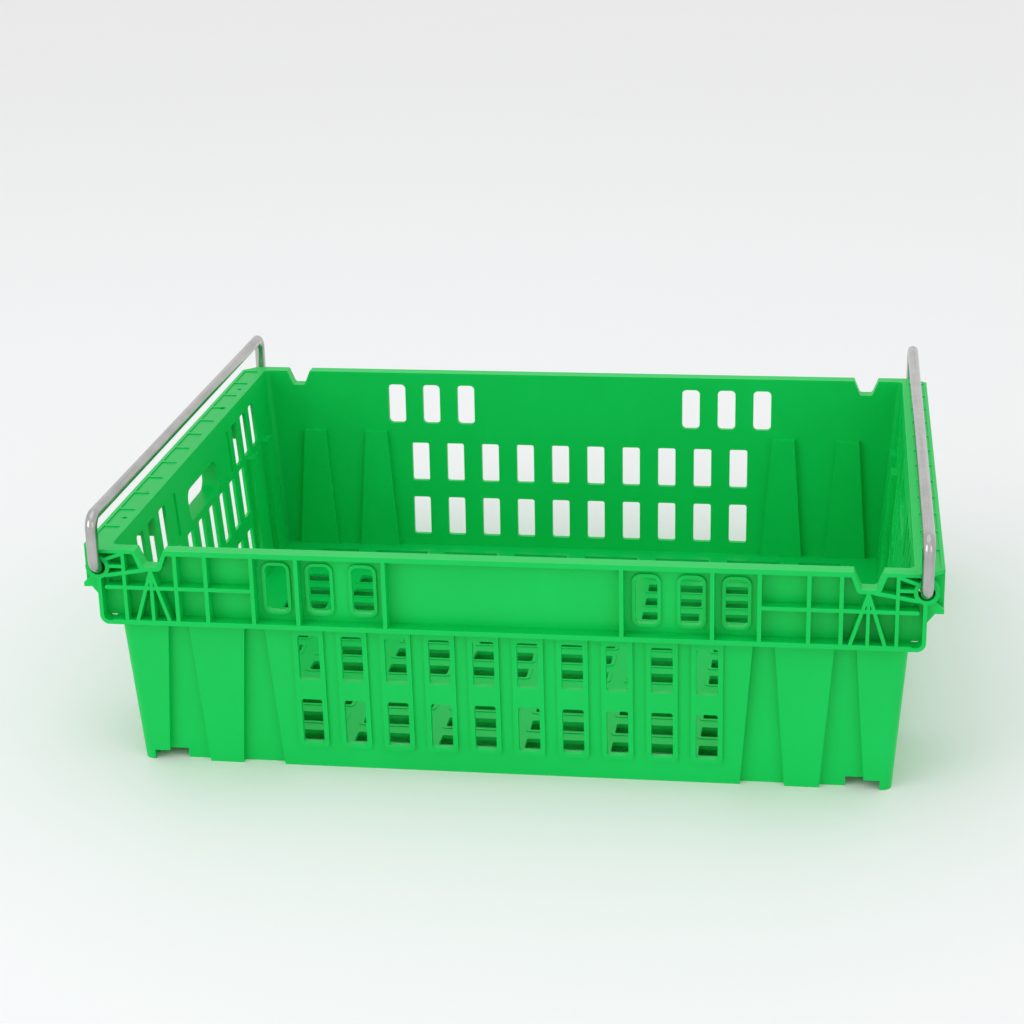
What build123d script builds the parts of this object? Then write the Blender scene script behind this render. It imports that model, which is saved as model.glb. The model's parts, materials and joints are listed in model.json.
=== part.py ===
from build123d import *
import os
from math import atan, cos, degrees, hypot, radians, sin, atan2

# Stack-and-nest produce crate: one moulded tub and two steel bale arms.
# X runs along the long sides, Y across, Z up; the origin is centred under the tub on its base line.
# The tub is one moulding, written as sections that meet face to face.

# Driving dimensions, mm
length = 628.0            # over the end skirts
width = 488.0             # over the long-side flanges
height = 176.0            # base line to rim
wall = 2.8
end_draft = 0.0738        # outward run of an end wall per mm of height
side_draft = 0.0362       # the same for a long wall
deck_overhang = 18.4      # end wall's outer face, at the rim, to the deck's outer edge
deck_panels = 12          # shallow panels sunk in each end deck
panel_sink = 0.9
skirt_inset = 1.5         # deck's outer edge to the skirt's outer face
flange_overhang = 9.0     # long wall's outer face, at the rim, to the flange edge
corner_radius = 8.0       # lower tub's vertical corners, outside

# Band round the rim
band_height = 59.0        # rim down to the lower flange's underside
flange = 3.8              # thickness of the rim flange and the lower flange
strip_radius = 7.0        # lower flange's turn up to the pivots, outside
rib = 3.0                 # band ribs
brace = 2.6               # lighter braces round the pivots
lip = 2.8                 # deck, and the rim outboard of the bar notches
lip_chamfer = 12.0        # outer corners of that lip
label_half = 86.5         # half length of the plain panel in the middle of a band
rib_steps = (0, 1.98, 3.0, 4.06)       # ribs beyond that panel, in window pitches
window_steps = (0.53, 1.515, 2.5)      # band windows, counted the same way
band_window_margin = 7.4  # band window to flange

# Corrugation of the walls
channel_depth = 5.5       # how far a channel is sunk into the outside
channel_top = 15.1        # width under the lower flange
channel_flare = 0.075     # growth of each side per mm downwards
split_margin = 2.0        # wall sections run this far inboard of the pads
corner_column = 36.4      # outermost channel's centre to the end face at the base
column_pitch = 58.1       # between the two channels of a long wall
end_corner_column = 30.6  # outermost channel's centre to the side face at the base
end_column_pitch = 53.0

# Windows of the long walls
columns = 10
window_width = 16.0
window_radius = 2.0
window_margin = 16.2      # outermost window to the first channel, at the base
window_base = 20.4        # base line to the lower row
window_bridge = 16.0      # between the rows
window_top = 7.7          # upper row to the lower flange
frame_border = 3.6        # raised border round the windows
frame_radius = 4.0
band_border = 2.4         # the same in the band
band_window_radius = 4.0
frame_raise = 2.0

# Slots and hand hole of the end walls
slot_columns = 8
slot_width = 17.2
slot_margin = 5.3
slot_base = 17.0
slot_bridge = 13.6
slot_top = 1.8
upper_pitch = 29.0        # slots beside the hand hole
upper_gap = 3.7           # ledge to those slots
upper_height = 37.5
blind_depth = 1.3         # the innermost of them is a blind panel
hand_length = 87.0
hand_height = 27.0
hand_radius = 9.0
hand_reach = 7.4          # collar's outer end inboard of the skirt's inner face

# Floor
floor_top = 10.0
floor_skin = 2.5
floor_rows = 13
floor_slot = 17.0
floor_bar = 16.4          # solid bar between slot columns
floor_margin = 20.9       # outermost slot row to the long wall
floor_rib = 2.4
floor_edge = 5.8          # outermost slots to the foot gap
slot_border = 3.0         # raised border round each floor slot
border_raise = 0.6

# Bale arms and what holds them
rod_radius = 4.5
arm_reach = 40.5          # pivot axis to cross-bar axis
arm_gap = 1.0             # band face to the legs
pin_reach = 6.0           # rod end past the inside of the corner web
pin_clear = 1.5           # rod to the bore it turns in
upper_bend = 9.5          # centreline radii
lower_bend = 8.0
pivot_inset = 12.7        # pivot axis inboard of the skirt's outer face
pivot_drop = 14.0         # pivot axis below the rim
boss_wall = 3.0
stack_angle = 82.0        # inward swing at which the cross-bar lies in its notches
notch_clear = 0.3         # cross-bar to notch floor
notch_side = 0.8          # cross-bar to each side of the notch, at its floor
notch_flare = 5.45        # growth of each side up to the rim
notch_fillet = 2.5
strip_taper = 0.8         # strip round a notch: its width at the foot over its width at the rim
foot_clear = 8.0          # a lower crate's cross-bar to each side of the gap in the base
notch_rib = 18.8          # last band rib inboard of the cross-bar's place
boss_post = 19.8          # post beside each pivot
truss_foot = 12.5         # spread of the three braces under a notch
strut_offset = 4.0        # strut under a notch, outboard of its middle
root = 1.0                # overlap that ties a brace into what it meets
plate_reach = 1.0         # corner plate's outer face past the pivot axis
wing_reach = 7.0          # wing's edge past the corner web
gusset_run = 5.5
drain_places = (0.49, 0.75)            # deck drain holes, as shares of the half width
drain_inset = 6.0         # their centres outboard of the end wall
drain_radius = 2.0

# What follows from them
end_top = length / 2 - deck_overhang
side_top = width / 2 - flange_overhang


def end_face(z):
    return end_top - (height - z) * end_draft


def side_face(z):
    return side_top - (height - z) * side_draft


band_low = height - band_height
ledge = band_low + flange
band_face = width / 2
pivot_x = length / 2 - pivot_inset
pivot_z = height - pivot_drop
plate_x = pivot_x + plate_reach
bar_x = pivot_x - arm_reach * sin(radians(stack_angle))
bar_z = pivot_z + arm_reach * cos(radians(stack_angle))
notch_floor = bar_z - rod_radius - notch_clear
notch_half = rod_radius + notch_side
gap_half = rod_radius + foot_clear
boss_bore = rod_radius + pin_clear
boss_radius = boss_bore + boss_wall
boss_foot = pivot_z - boss_radius + rib
split_y = side_face(0) - wall - channel_depth - split_margin
side_channels = [end_face(0) - corner_column - column_pitch * i for i in (1, 0)]
end_channels = [side_face(0) - end_corner_column - end_column_pitch * i for i in (1, 0)]
channel_base = channel_top / 2 + channel_flare * band_low
window_span = 2 * (side_channels[0] - channel_base - window_margin) - window_width
pitch = window_span / (columns - 1)
slot_span = 2 * (end_channels[0] - channel_base - slot_margin) - slot_width
slot_pitch = slot_span / (slot_columns - 1)
web_low = side_face(band_low) - wall      # corner web, in line with the long wall
web_high = web_low + wall
rib_root = web_high - wall / 4            # ribs reach into the wall by this much
floor_low = floor_top - floor_skin
below = -6.0                              # rough forms run past the base line and the rim
above = height + 6.0


def save(builder, name):
    builder.part.label = name
    export_step(builder.part, f"parts/{name}.step")
    return builder.part


def save_mirrored(source, plane, name):
    """The same section for the opposite side or end."""
    with BuildPart() as opposite:
        add(mirror(source, about=plane, mode=Mode.PRIVATE))
    return save(opposite, name)


def block(x0, x1, y0, y1, z0, z1, mode=Mode.ADD):
    with Locations(((x0 + x1) / 2, (y0 + y1) / 2, (z0 + z1) / 2)):
        Box(abs(x1 - x0), abs(y1 - y0), abs(z1 - z0), mode=mode)


def tub_form(inset, radius):
    """Drafted solid inside the tub's outer faces, moved in by inset."""
    low_x, high_x = (end_face(z) - inset for z in (below, above))
    low_y, high_y = (side_face(z) - inset for z in (below, above))
    with BuildPart() as form:
        with BuildSketch(Plane.XZ):
            Polygon((-low_x, below), (low_x, below), (high_x, above), (-high_x, above), align=None)
        extrude(amount=width, both=True)
        with BuildSketch(Plane.YZ):
            Polygon((-low_y, below), (low_y, below), (high_y, above), (-high_y, above), align=None)
        extrude(amount=length, both=True, mode=Mode.INTERSECT)
        if radius > 0:
            fillet(form.edges().filter_by(lambda edge: abs(edge.tangent_at(0.5).Z) > 0.9), radius)
    return form.part


def side_plane(side):
    """Outer face of a long wall, with its y up the slope."""
    lean = atan(side_draft)
    normal = (0, side * cos(lean), -sin(lean))
    return Plane(origin=(0, side * side_face(0), 0), x_dir=(-side, 0, 0), z_dir=normal)


def end_plane(end):
    lean = atan(end_draft)
    normal = (end * cos(lean), 0, -sin(lean))
    return Plane(origin=(end * end_face(0), 0, 0), x_dir=(0, end, 0), z_dir=normal)


def channel_outline(centre, grow, top):
    half_top = channel_top / 2 + channel_flare * (band_low - top) + grow
    half_low = half_top + channel_flare * (top - below)
    Polygon(
        (centre - half_low, below),
        (centre + half_low, below),
        (centre + half_top, top),
        (centre - half_top, top),
        align=None,
    )


def pad_form(plane, centres, top):
    """The inward pads that back the channels."""
    with BuildPart() as form:
        with BuildSketch(plane.offset(-channel_depth - wall)):
            for centre in centres:
                channel_outline(centre, wall, top)
                channel_outline(-centre, wall, top)
        extrude(amount=channel_depth + wall / 2)
    return form.part


def channel_form(plane, centres):
    """The hollows outside those pads."""
    with BuildPart() as form:
        with BuildSketch(plane.offset(-channel_depth)):
            for centre in centres:
                channel_outline(centre, 0, band_low)
                channel_outline(-centre, 0, band_low)
        extrude(amount=channel_depth + wall)
    return form.part


def rounded_panels(spots, panel_width, panel_height, radius):
    with Locations(*spots):
        RectangleRounded(panel_width, panel_height, radius)


def bar_outline(start, finish, thickness):
    """Round-ended bar between two points of a sketch."""
    run = (finish[0] - start[0], finish[1] - start[1])
    middle = ((start[0] + finish[0]) / 2, (start[1] + finish[1]) / 2)
    with Locations(middle):
        SlotCenterToCenter(hypot(*run), thickness, rotation=degrees(atan2(run[1], run[0])))


def notch_outline(end, grow):
    """Bar notch in the rim, or the strip round it when grown."""
    half_low = notch_half + grow * strip_taper
    half_high = notch_half + notch_flare + grow
    low = notch_floor - grow
    with BuildSketch() as outline:
        Polygon(
            (end * bar_x - half_low, low),
            (end * bar_x + half_low, low),
            (end * bar_x + half_high, height),
            (end * bar_x + half_high, above),
            (end * bar_x - half_high, above),
            (end * bar_x - half_high, height),
            align=None,
        )
        fillet(outline.vertices().group_by(Axis.Y)[0], notch_fillet + grow / 2)
    return outline.sketch


outer_rounded = tub_form(0, corner_radius)
outer_square = tub_form(0, 0)
inner_form = tub_form(wall, corner_radius - wall)
side_pads = {side: pad_form(side_plane(side), side_channels, ledge + flange) for side in (-1, 1)}
end_pads = {end: pad_form(end_plane(end), end_channels, ledge) for end in (-1, 1)}
side_hollows = {side: channel_form(side_plane(side), side_channels) for side in (-1, 1)}
end_hollows = {end: channel_form(end_plane(end), end_channels) for end in (-1, 1)}

window_height = (band_low - window_base - window_bridge - window_top) / 2
window_rows = [window_base + window_height / 2 + i * (window_height + window_bridge) for i in (0, 1)]
window_spots = [((i - (columns - 1) / 2) * pitch, z) for i in range(columns) for z in window_rows]
frame_low = window_base - frame_border
frame_middle = (frame_low + ledge) / 2
frame_spots = [((i - (columns - 1) / 2) * pitch, frame_middle) for i in range(columns)]

band_window_height = height - flange - ledge - 2 * band_window_margin
band_middle = (height - flange + ledge) / 2
band_windows = [label_half + step * pitch for step in window_steps]
band_spots = [(sign * x, band_middle) for x in band_windows for sign in (-1, 1)]
band_ribs = [label_half + step * pitch for step in rib_steps] + [bar_x - notch_rib]
post_x = pivot_x - boss_post


def corner_strip(end):
    """Lower flange's turn up into the end plate."""
    edge = end * (plate_x - rib / 2)
    with BuildSketch() as strip:
        with BuildLine():
            FilletPolyline(
                (end * bar_x, band_low + rib / 2),
                (edge, band_low + rib / 2),
                (edge, boss_foot),
                radius=strip_radius - rib / 2,
            )
        trace(line_width=rib)
    return strip.sketch


notches = {end: notch_outline(end, 0) for end in (-1, 1)}
notch_bands = {end: notch_outline(end, rib) for end in (-1, 1)}
corner_strips = {end: corner_strip(end) for end in (-1, 1)}


def band_plane(side):
    return Plane.XZ.offset(-side * band_face)


def make_lower_wall(side, name):
    plane = side_plane(side)
    flange_end = plate_x - rib - strip_radius
    with BuildPart() as lower_wall:
        add(outer_rounded)
        add(inner_form, mode=Mode.SUBTRACT)
        add(side_pads[side])
        add(side_hollows[side], mode=Mode.SUBTRACT)
        with BuildSketch(plane.offset(-wall / 2)):
            rounded_panels(frame_spots, window_width + 2 * frame_border, ledge - frame_low, frame_radius)
        extrude(amount=wall / 2 + frame_raise)
        with BuildSketch(plane.offset(-2 * wall)):
            rounded_panels(window_spots, window_width, window_height, window_radius)
        extrude(amount=4 * wall, mode=Mode.SUBTRACT)
        block(-flange_end, flange_end, side * rib_root, side * band_face, band_low, ledge)
        with BuildSketch(band_plane(side)):
            for end in (-1, 1):
                add(corner_strips[end])
        extrude(amount=side * (band_face - rib_root))
        for end in (-1, 1):
            gap = (end * (bar_x - gap_half), end * (bar_x + gap_half))
            block(*gap, 0, side * width, below, floor_low, mode=Mode.SUBTRACT)
        block(-length, length, side * split_y, side * width, 0, ledge, mode=Mode.INTERSECT)
    return save(lower_wall, name)


def make_end_wall(end, name):
    plane = end_plane(end)
    slot_height = (ledge - slot_base - slot_bridge - slot_top) / 2
    rows = [slot_base + slot_height / 2 + i * (slot_height + slot_bridge) for i in (0, 1)]
    slots = [((i - (slot_columns - 1) / 2) * slot_pitch, z) for i in range(slot_columns) for z in rows]
    first = (slot_columns / 2 - 1.5) * slot_pitch
    upper_z = ledge + upper_gap + upper_height / 2
    upper = [(sign * (first + i * upper_pitch), upper_z) for i in (1, 2, 3) for sign in (-1, 1)]
    blind = [(sign * first, upper_z) for sign in (-1, 1)]
    hand_z = ledge + upper_gap + hand_height / 2
    reach = length / 2 - wall - hand_reach
    start = end_face(hand_z) - wall / 2
    with BuildPart() as end_wall:
        add(outer_square)
        add(inner_form, mode=Mode.SUBTRACT)
        add(end_pads[end])
        add(end_hollows[end], mode=Mode.SUBTRACT)
        with BuildSketch(plane.offset(-2 * wall)):
            rounded_panels(slots, slot_width, slot_height, window_radius)
            rounded_panels(upper, slot_width, upper_height, window_radius)
        extrude(amount=4 * wall, mode=Mode.SUBTRACT)
        with BuildSketch(plane.offset(-2 * wall)):
            rounded_panels(blind, slot_width, upper_height, window_radius)
        extrude(amount=wall + blind_depth, mode=Mode.SUBTRACT)
        with BuildSketch(Plane.YZ.offset(end * start)):
            with Locations((0, hand_z)):
                RectangleRounded(hand_length + 2 * wall, hand_height + 2 * wall, hand_radius + wall)
        extrude(amount=end * (reach - start))
        with BuildSketch(Plane.YZ.offset(end * (start - 3 * wall))):
            with Locations((0, hand_z)):
                RectangleRounded(hand_length, hand_height, hand_radius)
        extrude(amount=end * (reach - start + 4 * wall), mode=Mode.SUBTRACT)
        block(0, end * length, -split_y, split_y, 0, height, mode=Mode.INTERSECT)
    return save(end_wall, name)


def truss_outline(end):
    """Braces between a bar notch, its pivot boss and the lower flange."""
    under_notch = notch_floor - rib
    for foot in (-truss_foot, 0, truss_foot):
        bar_outline((end * bar_x, under_notch), (end * (bar_x + foot), ledge - root), brace)
    # a point just inside the boss at half past seven and at half past ten
    near = end * (pivot_x - 0.7 * boss_radius)
    low, high = (pivot_z - 0.7 * boss_radius, pivot_z + 0.7 * boss_radius)
    bar_outline((end * (bar_x + strut_offset), under_notch + root), (near, low), rib)
    bar_outline((end * post_x, pivot_z + root), (end * (pivot_x - boss_radius + root), pivot_z + root), brace)
    bar_outline((end * post_x, height - lip), (near, high), brace)


def make_rim_band(side, name):
    plane = side_plane(side)
    depth = band_face - rib_root
    middle = (band_low + height) / 2
    with BuildPart() as rim_band:
        add(outer_square)
        add(inner_form, mode=Mode.SUBTRACT)
        # raised window frames
        with BuildSketch(plane.offset(-wall / 2)):
            rounded_panels(
                band_spots,
                window_width + 2 * band_border,
                band_window_height + 2 * band_border,
                band_window_radius + band_border,
            )
        extrude(amount=wall / 2 + frame_raise)
        # ribs, posts and braces, all drawn on the band's face
        with BuildSketch(band_plane(side)):
            for end in (-1, 1):
                for x in band_ribs:
                    with Locations((end * x, middle)):
                        Rectangle(rib, band_height)
                with Locations((end * post_x, middle)):
                    Rectangle(brace, band_height)
                bar_outline((end * band_ribs[2], middle), (end * (pivot_x - boss_radius + rib), middle), rib)
                truss_outline(end)
                add(corner_strips[end])
                add(notch_bands[end])
        extrude(amount=side * depth)
        # rim flange between the notches, thinner lip outboard of them
        inner_edge = side * (rib_root + wall / 2)
        block(-bar_x, bar_x, inner_edge, side * band_face, height - flange, height)
        with BuildSketch(Plane.XY.offset(height - lip)):
            for end in (-1, 1):
                with BuildLine():
                    Polyline(
                        (end * bar_x, inner_edge),
                        (end * (end_top - wall / 2), inner_edge),
                        (end * (end_top - wall / 2), side * web_low),
                        (end * length / 2, side * web_low),
                        (end * length / 2, side * (band_face - lip_chamfer)),
                        (end * (length / 2 - lip_chamfer), side * band_face),
                        (end * bar_x, side * band_face),
                        close=True,
                    )
                make_face()
        extrude(amount=lip)
        # corner web, wing and gusset outboard of the tub
        wing_low = middle - rib / 2
        wing_high = wing_low + rib
        wing_edge = side * (web_high + wing_reach)
        for end in (-1, 1):
            inboard = end * (end_face(band_low) - wall)
            block(inboard, end * plate_x, side * web_low, side * web_high, band_low, height)
            block(inboard, end * length / 2, side * web_low, side * web_high, wing_low, height)
            block(end * pivot_x, end * length / 2, side * web_low, wing_edge, wing_low, wing_high)
        with BuildSketch(Plane.XZ.offset(-wing_edge)):
            for end in (-1, 1):
                with BuildLine():
                    Polyline(
                        (end * (plate_x - rib), wing_low - wing_reach),
                        (end * plate_x, wing_low - wing_reach),
                        (end * (plate_x + gusset_run), wing_low),
                        (end * length / 2, wing_low),
                        (end * length / 2, wing_high),
                        (end * (plate_x + rib), boss_foot),
                        (end * (plate_x - rib), boss_foot),
                        close=True,
                    )
                make_face()
        extrude(amount=side * rib)
        add(inner_form, mode=Mode.SUBTRACT)
        # openings
        with BuildSketch(plane.offset(-2 * wall)):
            rounded_panels(band_spots, window_width, band_window_height, band_window_radius)
        extrude(amount=4 * wall, mode=Mode.SUBTRACT)
        with BuildSketch(band_plane(side).offset(-side * wall)):
            for end in (-1, 1):
                add(notches[end])
        extrude(amount=side * (band_face - side_face(0) + 3 * wall), mode=Mode.SUBTRACT)
        with BuildSketch(band_plane(side)):
            with Locations((-pivot_x, pivot_z), (pivot_x, pivot_z)):
                Circle(boss_radius)
        extrude(amount=side * (band_face - web_high), mode=Mode.SUBTRACT)
        with BuildSketch(band_plane(side)):
            with Locations((-pivot_x, pivot_z), (pivot_x, pivot_z)):
                Circle(boss_bore)
        extrude(amount=side * (band_face - web_low), mode=Mode.SUBTRACT)
        block(-length, length, side * split_y, side * band_face, ledge, height, mode=Mode.INTERSECT)
    return save(rim_band, name)


def make_end_rim(end, name):
    skirt_low = (band_low + height) / 2 - rib
    skirt_face = end * (length / 2 - skirt_inset)
    skirt = skirt_face - end * wall
    panel_pitch = 2 * web_low / deck_panels
    panel_inner = end * (end_top + wall)
    panel_outer = end * (length / 2 - wall)
    webs = [hand_length / 2 + 4 * wall, (slot_columns / 2 - 1.5) * slot_pitch + 1.5 * upper_pitch]
    with BuildPart() as end_rim:
        block(end * end_face(0), end * length / 2, -web_low, web_low, height - lip, height)
        block(skirt, skirt_face, -web_low, web_low, skirt_low, height)
        for y in webs:
            for sign in (-1, 1):
                near, far = (sign * y - brace / 2, sign * y + brace / 2)
                block(end * end_face(0), skirt, near, far, skirt_low, height)
        for i in range(deck_panels):
            start = -web_low + i * panel_pitch + rib / 2
            stop = start + panel_pitch - rib
            block(panel_inner, panel_outer, start, stop, height - panel_sink, above, mode=Mode.SUBTRACT)
        drain_x = end * (end_top + drain_inset)
        with Locations(*[(drain_x, sign * share * web_low) for share in drain_places for sign in (-1, 1)]):
            Cylinder(drain_radius, 2 * above, mode=Mode.SUBTRACT)
        add(outer_square, mode=Mode.SUBTRACT)
    return save(end_rim, name)


def make_floor():
    row_span = 2 * (side_face(floor_top) - wall - floor_margin) - floor_slot
    row_pitch = row_span / (floor_rows - 1)
    rows = [(i - (floor_rows - 1) / 2) * row_pitch for i in range(floor_rows)]
    column = 2 * pitch
    gap_start = bar_x - gap_half
    rib_end = gap_start - floor_rib
    outer_start = 3 * column + floor_bar / 2
    outer_stop = gap_start - floor_edge
    inner_slots = [(sign * (i + 0.5) * column, y) for i in range(3) for sign in (-1, 1) for y in rows]
    outer_slots = [(sign * (outer_start + outer_stop) / 2, y) for sign in (-1, 1) for y in rows]
    slot_groups = ((inner_slots, column - floor_bar), (outer_slots, outer_stop - outer_start))
    with BuildPart() as floor_grid:
        block(-length, length, -width, width, floor_low, floor_top)
        for i in range(-3, 4):
            x = i * column
            block(x - floor_rib / 2, x + floor_rib / 2, -width, width, 0, floor_low)
        for row in rows[1:]:
            y = row - row_pitch / 2
            block(-rib_end, rib_end, y - floor_rib / 2, y + floor_rib / 2, 0, floor_low)
        for grow, start, amount, mode in (
            (slot_border, floor_top, border_raise, Mode.ADD),
            (0, floor_low, floor_skin + border_raise, Mode.SUBTRACT),
        ):
            with BuildSketch(Plane.XY.offset(start)):
                for spots, span in slot_groups:
                    rounded_panels(spots, span + 2 * grow, floor_slot + 2 * grow, window_radius + grow / 2)
            extrude(amount=amount, mode=mode)
        add(inner_form, mode=Mode.INTERSECT)
        for pads in (side_pads, end_pads):
            for sign in (-1, 1):
                add(pads[sign], mode=Mode.SUBTRACT)
    return save(floor_grid, "floor_grid")


def make_boss(side, end, name):
    with BuildPart() as boss:
        with BuildSketch(band_plane(side)):
            with Locations((end * pivot_x, pivot_z)):
                Circle(boss_radius)
                Circle(boss_bore, mode=Mode.SUBTRACT)
        extrude(amount=side * (band_face - web_high))
    return save(boss, name)


def make_arm(end, name):
    x = end * pivot_x
    leg = band_face + arm_gap + rod_radius
    tip = web_low - pin_reach
    top = pivot_z + arm_reach
    corners = [(x, -tip, pivot_z), (x, -leg, pivot_z), (x, -leg, top)]
    corners += [(x, -y, z) for x, y, z in reversed(corners)]
    with BuildPart() as arm:
        with BuildLine():
            FilletPolyline(*corners, radius=[lower_bend, upper_bend, upper_bend, lower_bend])
        with BuildSketch(Plane(origin=corners[0], z_dir=(0, -1, 0))):
            Circle(rod_radius)
        sweep()
    return save(arm, name)


os.makedirs("parts", exist_ok=True)
make_floor()
for kind, make in {"lower_wall": make_lower_wall, "rim_band": make_rim_band}.items():
    front = make(-1, f"front_{kind}")
    save_mirrored(front, Plane.XZ, f"rear_{kind}")
for kind, make in {"end_wall": make_end_wall, "end_rim": make_end_rim, "bale_arm": make_arm}.items():
    left = make(-1, f"left_{kind}")
    save_mirrored(left, Plane.YZ, f"right_{kind}")
for end_name, end in {"left": -1, "right": 1}.items():
    boss = make_boss(-1, end, f"front_{end_name}_pivot_boss")
    save_mirrored(boss, Plane.XZ, f"rear_{end_name}_pivot_boss")
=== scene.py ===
import bmesh
import bpy
import json
import math
import numpy as np
from mathutils import Matrix, Vector


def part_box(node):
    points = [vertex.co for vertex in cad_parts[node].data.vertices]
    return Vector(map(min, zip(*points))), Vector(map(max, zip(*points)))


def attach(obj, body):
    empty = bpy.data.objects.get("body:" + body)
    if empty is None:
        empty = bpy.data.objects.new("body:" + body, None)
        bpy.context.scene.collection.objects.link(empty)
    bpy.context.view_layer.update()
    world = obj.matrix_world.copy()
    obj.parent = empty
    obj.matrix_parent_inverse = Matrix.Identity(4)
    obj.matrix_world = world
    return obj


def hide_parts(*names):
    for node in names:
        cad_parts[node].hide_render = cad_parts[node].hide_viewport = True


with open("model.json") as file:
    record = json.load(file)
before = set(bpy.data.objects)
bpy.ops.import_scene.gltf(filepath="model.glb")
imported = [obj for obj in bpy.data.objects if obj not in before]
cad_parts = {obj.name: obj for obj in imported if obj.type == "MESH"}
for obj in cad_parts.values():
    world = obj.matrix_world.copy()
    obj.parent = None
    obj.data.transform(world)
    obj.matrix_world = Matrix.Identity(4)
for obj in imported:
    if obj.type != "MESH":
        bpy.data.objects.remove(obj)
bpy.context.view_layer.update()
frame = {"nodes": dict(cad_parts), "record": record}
nodes = frame["nodes"]
bodies = frame["record"]["behaviour"]["bodies"]
print("frame loaded:", len(nodes), "nodes")


class Wire:
    # a socket that takes part in sums
    def __init__(self, tree, socket):
        self.tree = tree
        self.socket = socket

    def sum(self, operation, first, second):
        return self.tree.make("ShaderNodeMath", {"operation": operation}, {0: first, 1: second})

    def __add__(self, other):
        return self.sum("ADD", self, other)

    def __radd__(self, other):
        return self.sum("ADD", other, self)

    def __sub__(self, other):
        return self.sum("SUBTRACT", self, other)

    def __mul__(self, other):
        return self.sum("MULTIPLY", self, other)

    def __rmul__(self, other):
        return self.sum("MULTIPLY", other, self)

    def clipped(self):
        return self.tree.make("ShaderNodeClamp", {}, {"Value": self})


class Finish:
    # a material and the nodes that feed its shader
    def __init__(self, name):
        self.material = bpy.data.materials.new(name)
        self.material.use_nodes = True
        self.tree = self.material.node_tree
        self.shader = self.tree.nodes["Principled BSDF"]

    def plug(self, socket, value):
        if isinstance(value, Wire):
            self.tree.links.new(value.socket, socket)
        else:
            socket.default_value = value

    def make(self, kind, settings, values, output=0):
        node = self.tree.nodes.new(kind)
        for key, setting in settings.items():
            setattr(node, key, setting)
        for key, value in values.items():
            self.plug(node.inputs[key], value)
        return Wire(self, node.outputs[output])

    def place(self, stretch=(1, 1, 1)):
        spot = self.make("ShaderNodeTexCoord", {}, {}, "Object")
        return self.make("ShaderNodeMapping", {}, {"Vector": spot, "Scale": stretch})

    def noise(self, size, detail=3.0, stretch=(1, 1, 1)):
        # soft lumps about size metres across, from 0 to 1
        values = {"Vector": self.place(stretch), "Scale": 1 / size, "Detail": detail}
        return self.make("ShaderNodeTexNoise", {}, values, "Fac")

    def tint(self, mask, first, second):
        colours = [value if isinstance(value, Wire) else (*value, 1) for value in (first, second)]
        values = {0: mask, 6: colours[0], 7: colours[1]}
        return self.make("ShaderNodeMix", {"data_type": "RGBA"}, values, 2)

    def set(self, **values):
        for key, value in values.items():
            self.plug(self.shader.inputs[key.replace("_", " ")], value)

    def bumps(self, height, depth):
        values = {"Height": height, "Distance": depth, "Strength": 1.0}
        self.set(Normal=self.make("ShaderNodeBump", {}, values, "Normal"))


plasticLook = {
    "green": (0.0, 0.60, 0.10),
    "deepGreen": (0.0, 0.55, 0.085),
    "paleGreen": (0.0, 0.64, 0.125),
    "gloss": (0.34, 0.46),       # roughness where it is smoothest and dullest
    "shine": 0.22,
    "index": 1.5,
    "cloudSize": 0.09,
    "flowSize": 0.03,
    "flowStretch": (1, 1, 0.25),  # flow marks run up and down the walls
    "paleShare": 0.5,
    "grainSize": 0.0011,
    "rippleSize": 0.012,
    "rippleShare": 3.0,          # ripple beside grain
    "grainDepth": 0.00002,
    "glow": 0.12,                # light that soaks into the thin walls
    "glowReach": 0.004,
    "glowTint": (0.3, 1.0, 0.4),
}


def greenPlastic():
    look = plasticLook
    finish = Finish("green moulded plastic")
    cloud = finish.noise(look["cloudSize"], 2.0)
    flow = finish.noise(look["flowSize"], 4.0, look["flowStretch"])
    base = finish.tint((cloud * 1.6 - 0.3).clipped(), look["deepGreen"], look["green"])
    base = finish.tint((flow * 2.4 - 1.3).clipped() * look["paleShare"], base, look["paleGreen"])
    low, high = look["gloss"]
    rough = low + (high - low) * (flow * 0.6 + cloud * 0.4)
    finish.set(Base_Color=base, Roughness=rough, IOR=look["index"], Specular_IOR_Level=look["shine"])
    finish.set(Subsurface_Weight=look["glow"], Subsurface_Scale=look["glowReach"])
    finish.set(Subsurface_Radius=look["glowTint"])
    grain = finish.noise(look["grainSize"], 2.0)
    ripple = finish.noise(look["rippleSize"], 2.0)
    finish.bumps(grain + ripple * look["rippleShare"], look["grainDepth"])
    return finish.material


steelLook = {
    "pale": (0.66, 0.65, 0.64),
    # the grey is the rod's darker steel and also the painted dark reflection on it
    "lineAndPaintedReflectionGrey": (0.30, 0.295, 0.29),
    "gloss": (0.16, 0.28),
    "blotchAndPaintedReflectionSize": 0.02,
    "lineScale": (12.0, 260.0, 1.0),       # drawn lines that also carry painted dark reflection bands: few along the rod, many round it
    "scratchDepth": 0.000015,
}


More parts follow.
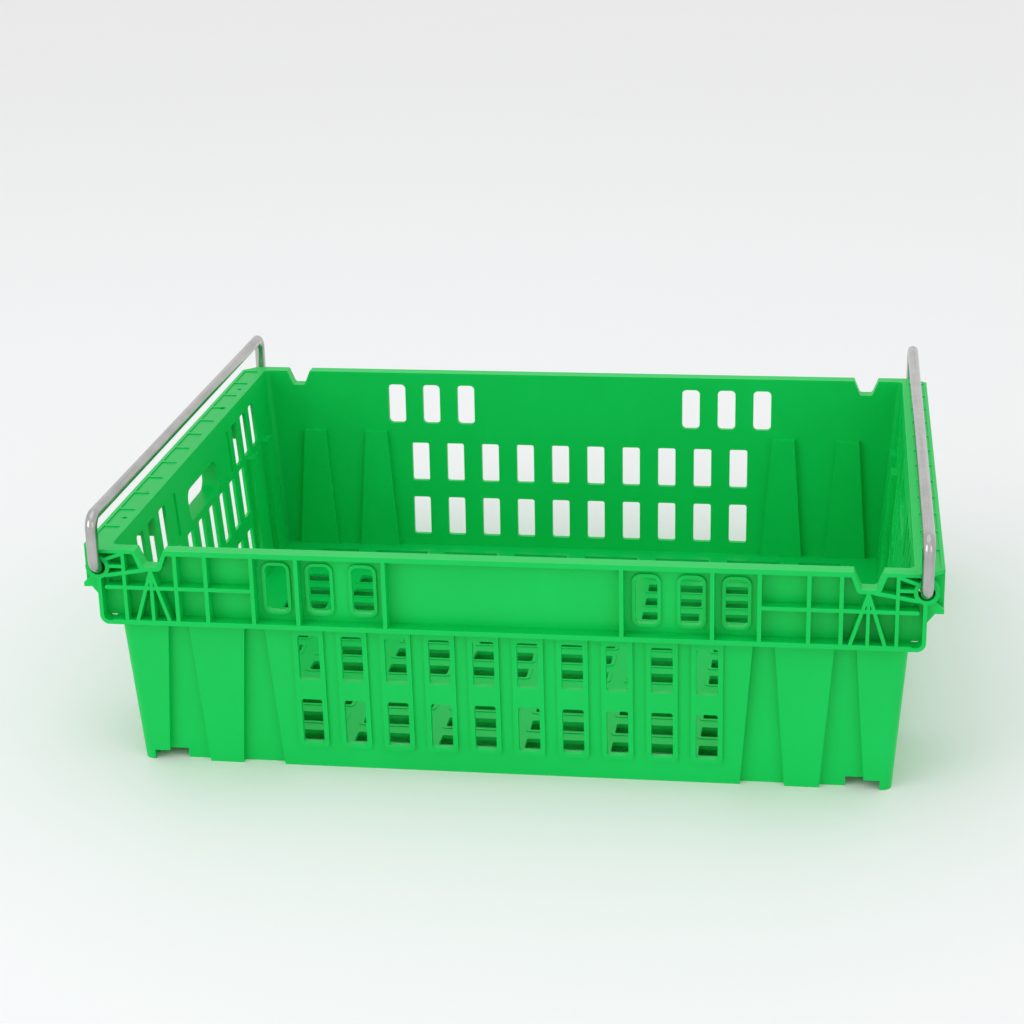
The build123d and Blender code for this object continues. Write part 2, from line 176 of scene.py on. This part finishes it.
def satinSteel():
    look = steelLook
    finish = Finish("satin steel rod with painted reflections")
    along = finish.make("ShaderNodeUVMap", {"uv_map": "rod"}, {}, "UV")
    lines = finish.make("ShaderNodeMapping", {}, {"Vector": along, "Scale": look["lineScale"]})
    streakAndPaintedReflection = finish.make("ShaderNodeTexNoise", {}, {"Vector": lines, "Scale": 1.0, "Detail": 4.0}, "Fac")
    blotchAndPaintedReflection = finish.noise(look["blotchAndPaintedReflectionSize"], 3.0)
    # the darker parts of the base colour, from the drawn lines and blotches, are painted reflection of
    # dark surroundings; the same lines also set real roughness and scratches
    mask = (streakAndPaintedReflection * 0.7 + blotchAndPaintedReflection * 0.6 - 0.2).clipped()
    finish.set(Base_Color=finish.tint(mask, look["lineAndPaintedReflectionGrey"], look["pale"]))
    low, high = look["gloss"]
    finish.set(Metallic=1.0, Roughness=low + (high - low) * (streakAndPaintedReflection * 0.5 + blotchAndPaintedReflection * 0.5))
    finish.bumps(streakAndPaintedReflection, look["scratchDepth"])
    return finish.material


def meshPiece(name, points, faces):
    mesh = bpy.data.meshes.new(name)
    mesh.from_pydata(points.reshape(-1, 3).tolist(), [], faces.tolist())
    mesh.update()
    piece = bpy.data.objects.new(name, mesh)
    bpy.context.scene.collection.objects.link(piece)
    return piece


tubShape = {
    "edgeRound": 0.0007,
    "edgeSteps": 2,
    "edgeAngle": 32,             # degrees; flatter edges stay as they are
    "flatAngle": 0.1,            # faces this near to level with each other become one
    "mergeGap": 0.00001,
    "speckPoints": 40,
}


def nodeCopy(name):
    source = nodes[name]
    piece = bpy.data.objects.new(name + " copy", source.data.copy())
    bpy.context.scene.collection.objects.link(piece)
    shape = bmesh.new()
    shape.from_mesh(piece.data)
    bmesh.ops.remove_doubles(shape, verts=shape.verts, dist=tubShape["mergeGap"])
    shape.to_mesh(piece.data)
    shape.free()
    return piece


def applyModifiers(piece):
    depsgraph = bpy.context.evaluated_depsgraph_get()
    mesh = bpy.data.meshes.new_from_object(piece.evaluated_get(depsgraph), depsgraph=depsgraph)
    piece.modifiers.clear()
    piece.data = mesh


def dropSpecks(shape):
    # slivers that the union leaves loose are far smaller than any real part of the moulding
    unseen = set(shape.verts)
    while unseen:
        island = [unseen.pop()]
        for vertex in island:
            near = {edge.other_vert(vertex) for edge in vertex.link_edges} & unseen
            island.extend(near)
            unseen -= near
        if len(island) < tubShape["speckPoints"]:
            bmesh.ops.delete(shape, geom=island, context="VERTS")


def joinedSections(pieceName, names):
    # the sections become one skin, so that no joint line shows
    joined = nodeCopy(names[0])
    joined.name = pieceName
    for name in names[1:]:
        section = nodeCopy(name)
        union = joined.modifiers.new("join " + name, "BOOLEAN")
        union.operation = "UNION"
        union.solver = "MANIFOLD"
        union.object = section
        applyModifiers(joined)
        bpy.data.objects.remove(section)
    joined.data.name = pieceName
    return joined


def makeMoulding(pieceName, names, plastic):
    moulding = joinedSections(pieceName, names)
    shape = bmesh.new()
    shape.from_mesh(moulding.data)
    bmesh.ops.remove_doubles(shape, verts=shape.verts, dist=tubShape["mergeGap"])
    dropSpecks(shape)
    flat = math.radians(tubShape["flatAngle"])
    bmesh.ops.dissolve_limit(shape, angle_limit=flat, verts=shape.verts, edges=shape.edges)
    dropSpecks(shape)
    # cracks that the union leaves open are closed
    rims = [edge for edge in shape.edges if edge.is_boundary]
    bmesh.ops.holes_fill(shape, edges=rims, sides=0)
    shape.to_mesh(moulding.data)
    shape.free()
    moulding.data.materials.clear()
    moulding.data.materials.append(plastic)
    sharp = math.radians(tubShape["edgeAngle"])
    bevel = moulding.modifiers.new("edge rounding", "BEVEL")
    bevel.width = tubShape["edgeRound"]
    bevel.segments = tubShape["edgeSteps"]
    bevel.limit_method = "ANGLE"
    bevel.angle_limit = sharp
    weighing = moulding.modifiers.new("broad faces stay flat", "WEIGHTED_NORMAL")
    weighing.keep_sharp = True
    moulding.data.polygons.foreach_set("use_smooth", np.ones(len(moulding.data.polygons), bool))
    moulding.data.set_sharp_from_angle(angle=sharp)
    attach(moulding, "tub")
    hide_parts(*names)
    return moulding


armShape = {
    "upperBend": 0.0095,         # centreline radii
    "lowerBend": 0.008,
    "around": 40,
    "perBend": 14,
    "endRound": 0.0007,
    "creaseAngle": 50,           # degrees; sharper turns shade as edges
}


def roundedRoute(corners, radii):
    # straight runs between corners, with an arc of the given radius in place of each inner corner
    route = [corners[:1]]
    for before, corner, after, radius in zip(corners, corners[1:], corners[2:], radii):
        back = (before - corner) / np.linalg.norm(before - corner)
        on = (after - corner) / np.linalg.norm(after - corner)
        centre = corner + (back + on) * radius
        turn = np.linspace(0, math.pi / 2, armShape["perBend"])[:, None]
        route.append(centre - on * radius * np.cos(turn) - back * radius * np.sin(turn))
    route.append(corners[-1:])
    return np.concatenate(route)


def makeRod(name, route, radius):
    # a circle of the rod's radius carried along the route, square to it, with eased ends
    steps = np.gradient(route, axis=0)
    steps /= np.linalg.norm(steps, axis=1)[:, None]
    sideways = np.array([1.0, 0.0, 0.0])
    upwards = np.cross(steps, sideways)
    ease = armShape["endRound"]
    firstRing, lastRing = route[0], route[-1]
    rings = np.concatenate([[firstRing, firstRing, firstRing + steps[0] * ease], route[1:-1],
                            [lastRing - steps[-1] * ease, lastRing, lastRing]])
    upwards = np.concatenate([upwards[:1].repeat(3, 0), upwards[1:-1], upwards[-1:].repeat(3, 0)])
    reach = np.full(len(rings), radius)
    reach[[0, -1]] = 0.0
    reach[[1, -2]] = radius - ease
    turn = np.linspace(0, 2 * math.pi, armShape["around"], endpoint=False)
    circle = sideways * np.cos(turn)[None, :, None] + upwards[:, None, :] * np.sin(turn)[None, :, None]
    points = rings[:, None, :] + circle * reach[:, None, None]
    rows, around = points.shape[:2]
    here = np.arange(rows - 1)[:, None] * around + np.arange(around)[None, :]
    after = np.arange(rows - 1)[:, None] * around + (np.arange(around)[None, :] + 1) % around
    faces = np.stack([here, after, after + around, here + around], -1).reshape(-1, 4)
    rod = meshPiece(name, points, faces)
    travelled = np.concatenate([[0], np.cumsum(np.linalg.norm(np.diff(rings, axis=0), axis=1))])
    row, column = faces // around, faces % around
    # the seam's far side is a whole turn on
    column = np.where((column == 0) & np.array([False, True, True, False]), around, column)
    flat = np.stack([travelled[row], column / around * 2 * math.pi * radius], -1)
    layer = rod.data.uv_layers.new(name="rod")
    layer.data.foreach_set("uv", flat.astype(np.float32).ravel())
    shape = bmesh.new()
    shape.from_mesh(rod.data)
    bmesh.ops.remove_doubles(shape, verts=shape.verts, dist=tubShape["mergeGap"])
    bmesh.ops.recalc_face_normals(shape, faces=shape.faces)
    shape.to_mesh(rod.data)
    shape.free()
    for face in rod.data.polygons:
        face.use_smooth = True
    rod.data.set_sharp_from_angle(angle=math.radians(armShape["creaseAngle"]))
    return rod


def makeArm(body, steel):
    name = bodies[body][0]
    low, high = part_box(name)
    points = np.array([v.co for v in nodes[name].data.vertices])
    radius = (high.x - low.x) / 2
    middle = (low.x + high.x) / 2
    base, top = low.z + radius, high.z - radius
    leg = high.y - radius
    ends = points[points[:, 2] < base + radius / 2]
    tip = np.abs(ends[:, 1]).min()
    half = [(middle, -tip, base), (middle, -leg, base), (middle, -leg, top)]
    corners = np.array(half + [(x, -y, z) for x, y, z in reversed(half)])
    upper, lower = armShape["upperBend"], armShape["lowerBend"]
    arm = makeRod(body + "_rod", roundedRoute(corners, [lower, upper, upper, lower]), radius)
    arm.data.materials.append(steel)
    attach(arm, body)
    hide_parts(name)
    return arm


room = {
    "floorHalf": 14.0,
    "floorTint": (0.9, 0.9, 0.9),
    "floorShade": 0.985,         # the darker mottling, as a share of that
    "mottleSize": 0.4,
    "worldLight": 0.9,
    # place, width, power and tint of each soft light; all aim at the crate
    "aim": (0.0, 0.0, 0.1),
    "lights": {
        "over": ((-0.2, -0.2, 2.4), 2.2, 7.0, (0.75, 0.88, 1.0)),
        "left front": ((-2.3, -2.4, 1.5), 1.8, 20.0, (1.0, 1.0, 1.0)),
        "right front": ((2.2, -2.4, 1.3), 1.6, 6.0, (1.0, 1.0, 1.0)),
    },
}


def makeRoom():
    finish = Finish("pale floor")
    mottle = finish.noise(room["mottleSize"], 3.0)
    shaded = tuple(part * room["floorShade"] for part in room["floorTint"])
    finish.set(Base_Color=finish.tint(mottle, room["floorTint"], shaded))
    finish.set(Roughness=0.6 + 0.1 * mottle)
    half = room["floorHalf"]
    corners = np.array([(-half, -half, 0), (half, -half, 0), (half, half, 0), (-half, half, 0)], float)
    floor = meshPiece("floor", corners, np.array([[0, 1, 2, 3]]))
    floor.data.materials.append(finish.material)
    for name, (place, width, power, tint) in room["lights"].items():
        lamp = bpy.data.lights.new(name, "AREA")
        lamp.size = width
        lamp.energy = power
        lamp.color = tint
        light = bpy.data.objects.new(name, lamp)
        light.location = place
        light.rotation_euler = (Vector(room["aim"]) - Vector(place)).to_track_quat("-Z", "Y").to_euler()
        bpy.context.scene.collection.objects.link(light)
    world = bpy.data.worlds.new("studio")
    world.use_nodes = True
    backdrop = world.node_tree.nodes["Background"]
    backdrop.inputs["Color"].default_value = (1, 1, 1, 1)
    backdrop.inputs["Strength"].default_value = room["worldLight"]
    bpy.context.scene.world = world
    bpy.context.scene.view_settings.view_transform = "Standard"


viewpoint = {
    "place": (0.2354, -1.7321, 0.7509),
    "towards": (-0.1416, 0.9312, -0.3359),
    "roll": -1.36,               # degrees
    "lens": 79.1,
    "sensor": 36.0,
}


def makeCamera():
    lens = bpy.data.cameras.new("camera")
    lens.lens = viewpoint["lens"]
    lens.sensor_width = viewpoint["sensor"]
    camera = bpy.data.objects.new("camera", lens)
    turn = Vector(viewpoint["towards"]).to_track_quat("-Z", "Y").to_matrix()
    turn = turn @ Matrix.Rotation(math.radians(viewpoint["roll"]), 3, "Z")
    camera.matrix_world = Matrix.Translation(viewpoint["place"]) @ turn.to_4x4()
    bpy.context.scene.collection.objects.link(camera)
    bpy.context.scene.camera = camera


makeCamera()
makeRoom()
print("room and camera ready")
plastic = greenPlastic()
sections = bodies["tub"]
walls = [name for name in sections if name != "floor_grid"]
for pieceName, names in (("tub_shell", walls), ("tub_floor", ["floor_grid"])):
    moulding = makeMoulding(pieceName, names, plastic)
    print(pieceName, "made:", len(moulding.data.polygons), "faces")
steel = satinSteel()
for body in ("left_arm", "right_arm"):
    arm = makeArm(body, steel)
    print(arm.name, "made:", len(arm.data.polygons), "faces")
